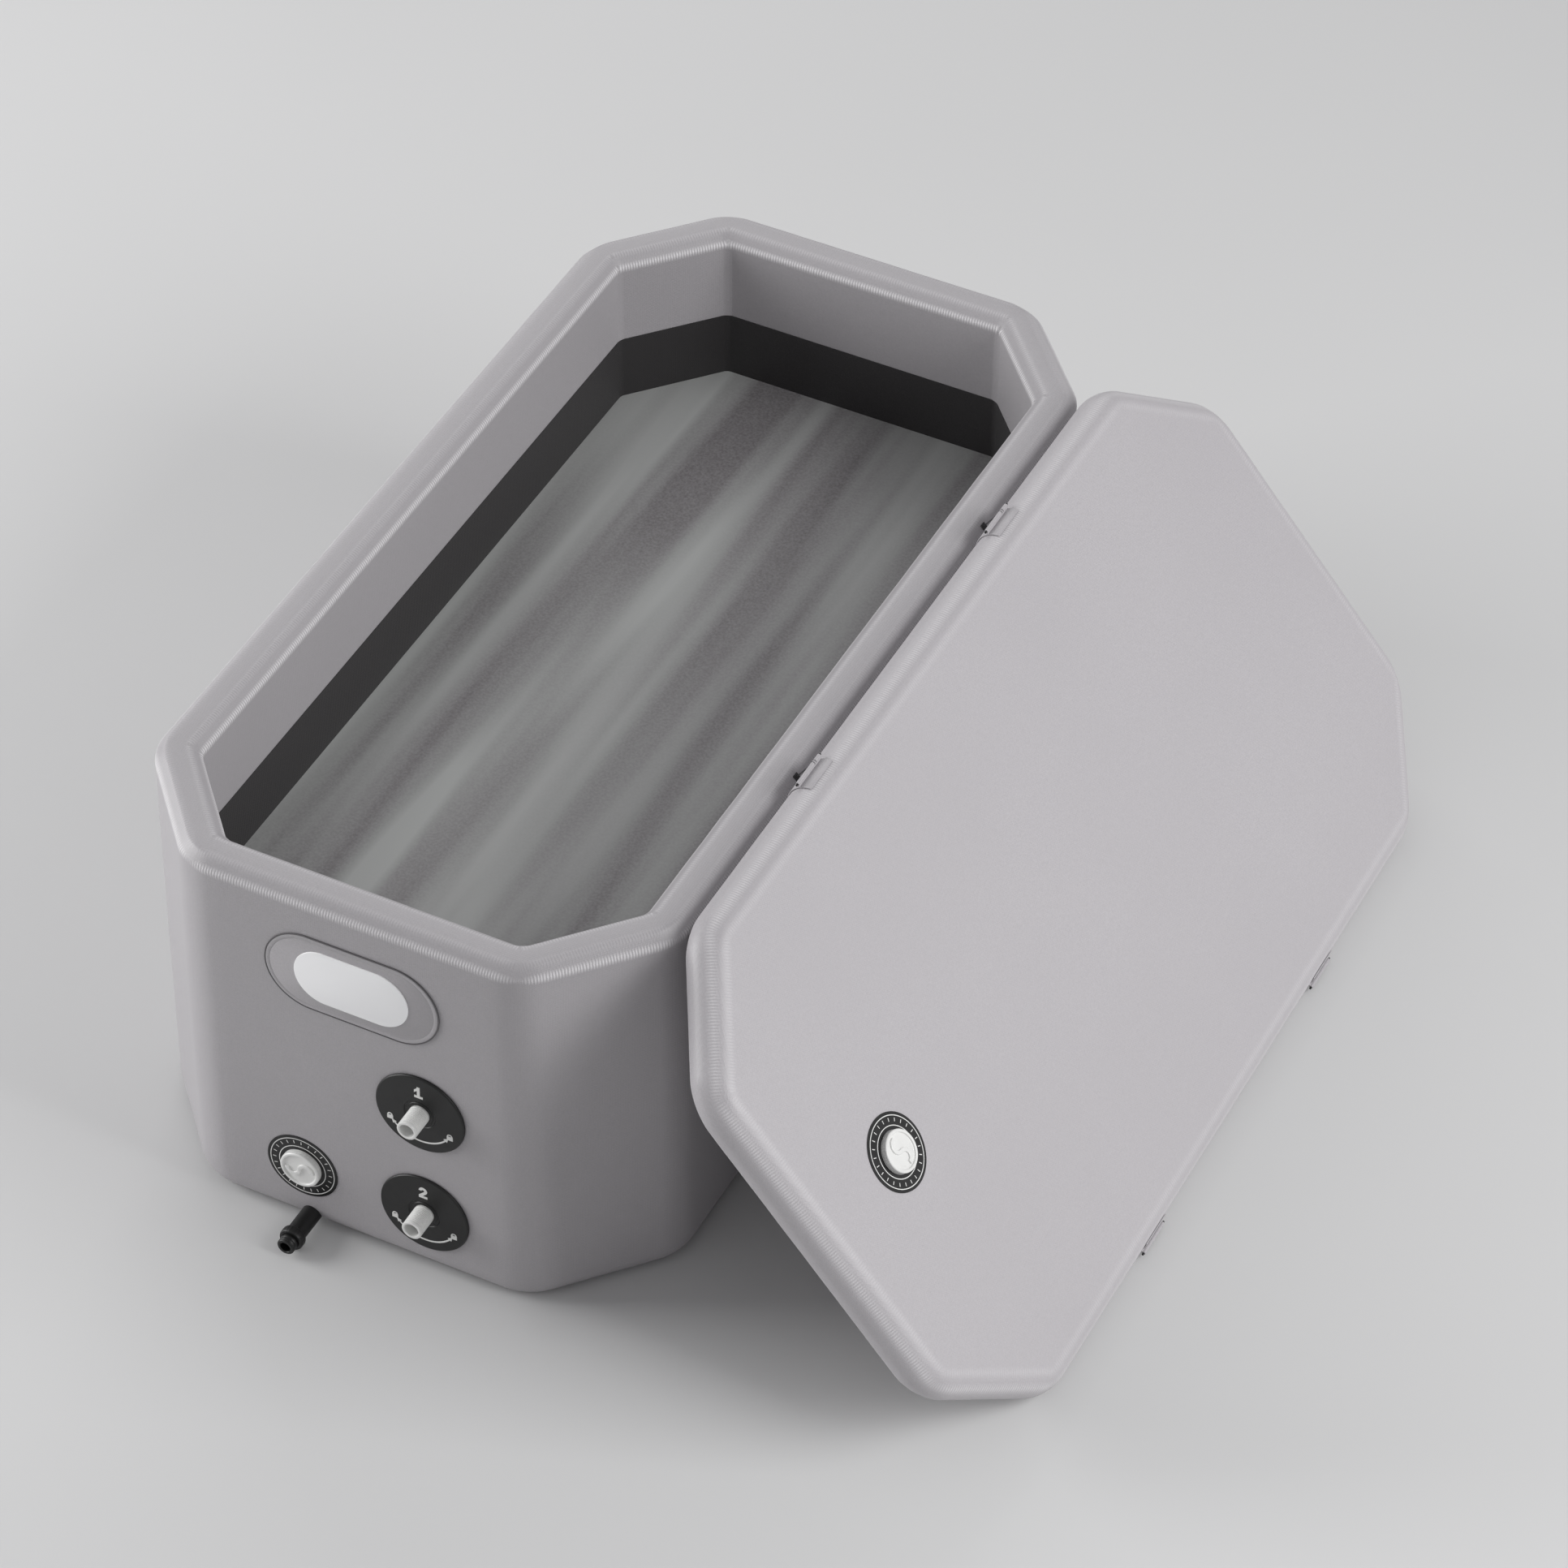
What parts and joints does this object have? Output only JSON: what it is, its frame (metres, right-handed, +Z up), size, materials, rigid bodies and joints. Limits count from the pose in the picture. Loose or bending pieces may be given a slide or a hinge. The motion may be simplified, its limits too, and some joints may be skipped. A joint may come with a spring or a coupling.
{
  "type": "cold plunge tub",
  "caption": "Long octagonal inflatable cold plunge tub with two hose ports, air valves, a drain and a hinged inflatable lid leaning at its side.",
  "frame": {"origin": "centre of the base, on the floor", "axes": "+Z up, +Y along the tub away from the end with the ports, +X across the tub towards the lid"},
  "size_m": [1.3581, 1.654, 0.6553],
  "materials": {
    "grey_coated_fabric": "fine woven texture under a satin coating",
    "dark_coated_fabric": "dark satin coating",
    "black_plastic": "moulded, satin",
    "white_plastic": "moulded, half gloss",
    "black_rubber": "matt",
    "spring_steel": "drawn wire"
  },
  "bodies": {
    "tub": {"wall": "grey_coated_fabric", "floor_panel": "grey_coated_fabric", "base_sheet": "dark_coated_fabric", "inner_band": "dark_coated_fabric", "handle_pad": "grey_coated_fabric", "pad_border": "dark_coated_fabric", "badge_plate": "white_plastic", "port_1_body": "black_plastic", "port_1_plate": "black_plastic", "port_1_marks": "white_plastic", "port_2_body": "black_plastic", "port_2_plate": "black_plastic", "port_2_marks": "white_plastic", "port_gaskets": "black_rubber", "port_inner_gaskets": "black_rubber", "port_nuts": "black_plastic", "port_strainers": "black_plastic", "tub_valve_label": "black_plastic", "tub_valve_marks": "white_plastic", "tub_valve_gasket": "black_rubber", "tub_valve_body": "white_plastic", "tub_valve_nut": "white_plastic", "tub_valve_spring": "spring_steel", "drain_pipe": "black_plastic", "drain_strainer": "black_plastic", "drain_floor_gasket": "black_rubber", "drain_collar": "black_plastic", "drain_nozzle": "black_plastic", "hinge_loops": "dark_coated_fabric"},
    "port_1_hose_tail": {"port_1_tail": "white_plastic", "port_1_oring": "black_rubber"},
    "port_2_hose_tail": {"port_2_tail": "white_plastic", "port_2_oring": "black_rubber"},
    "tub_valve_plunger": {"tub_valve_stem": "white_plastic", "tub_valve_seal": "black_rubber"},
    "tub_valve_lid": {"tub_valve_cap": "white_plastic"},
    "lid": {"lid_panel": "grey_coated_fabric", "hinge_tabs": "grey_coated_fabric", "closing_tabs": "grey_coated_fabric", "tab_rods": "black_plastic", "lid_valve_label": "black_plastic", "lid_valve_marks": "white_plastic", "lid_valve_gasket": "black_rubber", "lid_valve_body": "white_plastic", "lid_valve_nut": "white_plastic", "lid_valve_spring": "spring_steel"},
    "lid_valve_plunger": {"lid_valve_stem": "white_plastic", "lid_valve_seal": "black_rubber"},
    "lid_valve_lid": {"lid_valve_cap": "white_plastic"}
  },
  "joints": [
    {"name": "lid_hinge", "type": "hinge", "parent": "tub", "child": "lid", "pos_m": [0.41833, 0, 0.65245], "axis": [0, -1, 0], "range_deg": [0, 230.2]},
    {"name": "port_1_tail_swivel", "type": "hinge", "parent": "tub", "child": "port_1_hose_tail", "pos_m": [0.097, -0.785, 0.304], "axis": [0, -1, 0], "range_deg": [0, 90]},
    {"name": "port_2_tail_swivel", "type": "hinge", "parent": "tub", "child": "port_2_hose_tail", "pos_m": [0.097, -0.785, 0.112], "axis": [0, -1, 0], "range_deg": [0, 90]},
    {"name": "tub_valve_press", "type": "slide", "parent": "tub", "child": "tub_valve_plunger", "axis": [0, 1, 0], "range_m": [0, 0.004], "stiffness_N_per_m": 400, "springref_m": -0.003, "deforming": ["tub_valve_spring"]},
    {"name": "tub_valve_cap_twist", "type": "hinge", "parent": "tub", "child": "tub_valve_lid", "pos_m": [-0.094, -0.785, 0.11], "axis": [0, -1, 0], "range_deg": [0, 90]},
    {"name": "lid_valve_press", "type": "slide", "parent": "lid", "child": "lid_valve_plunger", "axis": [-0.7683, 0, -0.6401], "range_m": [0, 0.004], "stiffness_N_per_m": 400, "springref_m": -0.003, "deforming": ["lid_valve_spring"]},
    {"name": "lid_valve_cap_twist", "type": "hinge", "parent": "lid", "child": "lid_valve_lid", "pos_m": [0.70688, -0.6, 0.34837], "axis": [0.7683, 0, 0.6401], "range_deg": [0, 90]}
  ]
}
